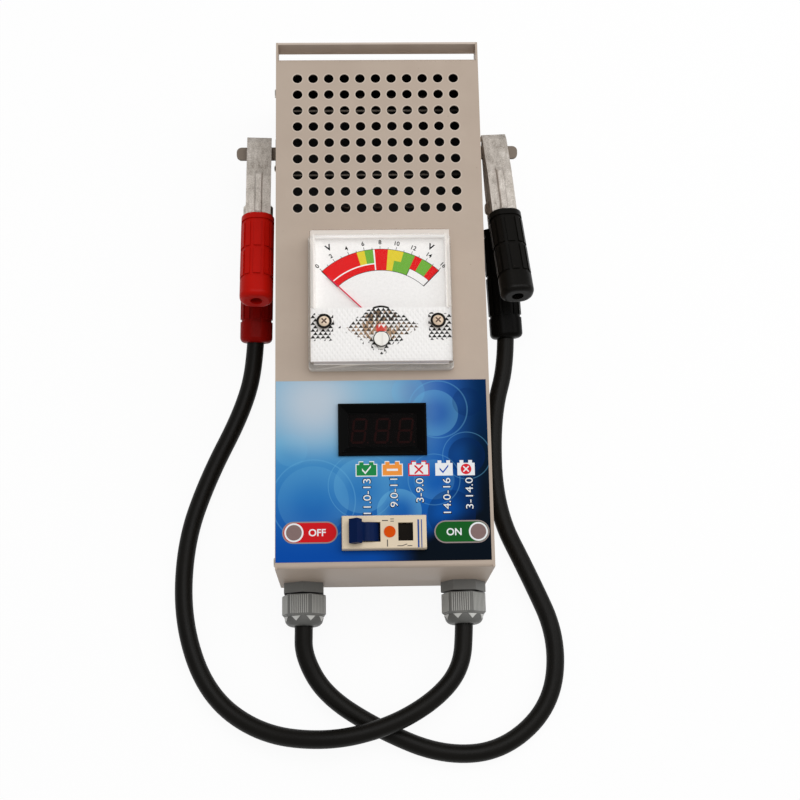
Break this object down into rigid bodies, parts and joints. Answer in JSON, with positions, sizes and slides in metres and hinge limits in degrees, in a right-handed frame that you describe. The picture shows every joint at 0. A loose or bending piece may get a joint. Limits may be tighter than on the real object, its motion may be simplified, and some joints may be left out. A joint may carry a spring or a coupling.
{
  "type": "battery load tester",
  "caption": "Hand-held battery load tester: vented sheet-steel case with a needle meter, digital display, breaker switch, and clamps on short cables hung at its sides.",
  "frame": {"origin": "middle of the flat back of the case, on which the tester lies", "axes": "+X to the right of the front panel, +Y along the case towards the strap, +Z out of the front panel"},
  "size_m": [0.2206, 0.4073, 0.0858],
  "materials": {
    "case_paint": "stoved enamel, fine orange peel",
    "label_film": "printed film, satin",
    "plated_steel": "zinc plated",
    "galvanised_steel": "galvanised, fine spangle",
    "meter_pale": "moulded, satin",
    "clear_plastic": "clear moulding",
    "dial_paint": "printed dial, matt",
    "movement_iron": "blackened",
    "needle_paint": "painted",
    "white_plastic": "moulded",
    "bezel_plastic": "moulded, satin",
    "smoked_plastic": "smoked clear moulding",
    "digit_plastic": "unlit diffusing segments",
    "board_laminate": "solder mask",
    "breaker_cream": "moulded, satin",
    "toggle_blue": "moulded",
    "disc_orange": "inlaid disc",
    "window_dark": "moulded",
    "resistance_wire": "oxidised",
    "ceramic_white": "unglazed",
    "brass_metal": "plain",
    "lead_black": "insulated wire",
    "gland_grey": "moulded nylon",
    "seal_rubber": "moulded",
    "cable_black": "jacket, satin",
    "sleeve_red": "soft moulded grip",
    "sleeve_black": "soft moulded grip"
  },
  "bodies": {
    "tester": {"breaker_body": "breaker_cream", "breaker_rail": "plated_steel", "breaker_rating_disc": "disc_orange", "breaker_terminal_screws": "plated_steel", "breaker_window": "window_dark", "cable_crimps": "brass_metal", "cable_left": "cable_black", "cable_right": "cable_black", "case_rivets": "plated_steel", "clamp_lower_jaw_black": "galvanised_steel", "clamp_lower_jaw_red": "galvanised_steel", "clamp_lower_sleeve_black": "sleeve_black", "clamp_lower_sleeve_red": "sleeve_red", "clamp_pivots": "galvanised_steel", "clamp_springs": "plated_steel", "coil_support_lower": "ceramic_white", "coil_support_upper": "ceramic_white", "cover_screws": "plated_steel", "display_bezel": "bezel_plastic", "display_board": "board_laminate", "display_digits": "digit_plastic", "display_lens": "smoked_plastic", "display_module": "bezel_plastic", "front_cover": "case_paint", "gland_body_left": "gland_grey", "gland_body_right": "gland_grey", "gland_locknut_left": "gland_grey", "gland_locknut_right": "gland_grey", "gland_nut_left": "gland_grey", "gland_nut_right": "gland_grey", "gland_seal_left": "seal_rubber", "gland_seal_right": "seal_rubber", "input_busbar": "brass_metal", "load_coil": "resistance_wire", "load_lead": "lead_black", "load_terminals": "brass_metal", "meter_case": "meter_pale", "meter_cover": "clear_plastic", "meter_cover_screws": "plated_steel", "meter_dial": "dial_paint", "meter_leads": "lead_black", "meter_movement": "movement_iron", "meter_stud_nuts": "plated_steel", "meter_studs": "plated_steel", "panel_label": "label_film", "rear_shell": "case_paint", "return_lead": "lead_black", "storage_lug_left": "galvanised_steel", "storage_lug_right": "galvanised_steel", "terminal_block": "ceramic_white", "top_strap": "case_paint"},
    "needle": {"meter_needle": "needle_paint"},
    "zero_adjuster": {"zero_adjust_screw": "white_plastic"},
    "toggle": {"breaker_toggle": "toggle_blue"},
    "red_lever": {"clamp_upper_jaw_red": "galvanised_steel", "clamp_upper_sleeve_red": "sleeve_red"},
    "black_lever": {"clamp_upper_jaw_black": "galvanised_steel", "clamp_upper_sleeve_black": "sleeve_black"}
  },
  "joints": [
    {"name": "needle_turn", "type": "hinge", "parent": "tester", "child": "needle", "pos_m": [-0.0004, -0.0165, 0.078], "axis": [0, 0, -1], "range_deg": [0, 92], "stiffness_Nm_per_rad": 0.00002},
    {"name": "zero_adjuster_turn", "type": "hinge", "parent": "tester", "child": "zero_adjuster", "pos_m": [-0.0004, -0.0261, 0.084], "axis": [0, 0, 1], "range_deg": [-60, 60]},
    {"name": "toggle_rock", "type": "hinge", "parent": "tester", "child": "toggle", "pos_m": [-0.0093, -0.1302, 0.0715], "axis": [0, 1, 0], "range_deg": [0, 76]},
    {"name": "red_clamp_open", "type": "hinge", "parent": "tester", "child": "red_lever", "pos_m": [-0.0706, 0.0688, 0.033], "axis": [0.9983, -0.0122, -0.0576], "range_deg": [0, 22], "stiffness_Nm_per_rad": 1.2, "springref_deg": -51.57},
    {"name": "black_clamp_open", "type": "hinge", "parent": "tester", "child": "black_lever", "pos_m": [0.0719, 0.07, 0.033], "axis": [0.9946, 0.073, -0.0732], "range_deg": [0, 22], "stiffness_Nm_per_rad": 1.2, "springref_deg": -51.57}
  ]
}
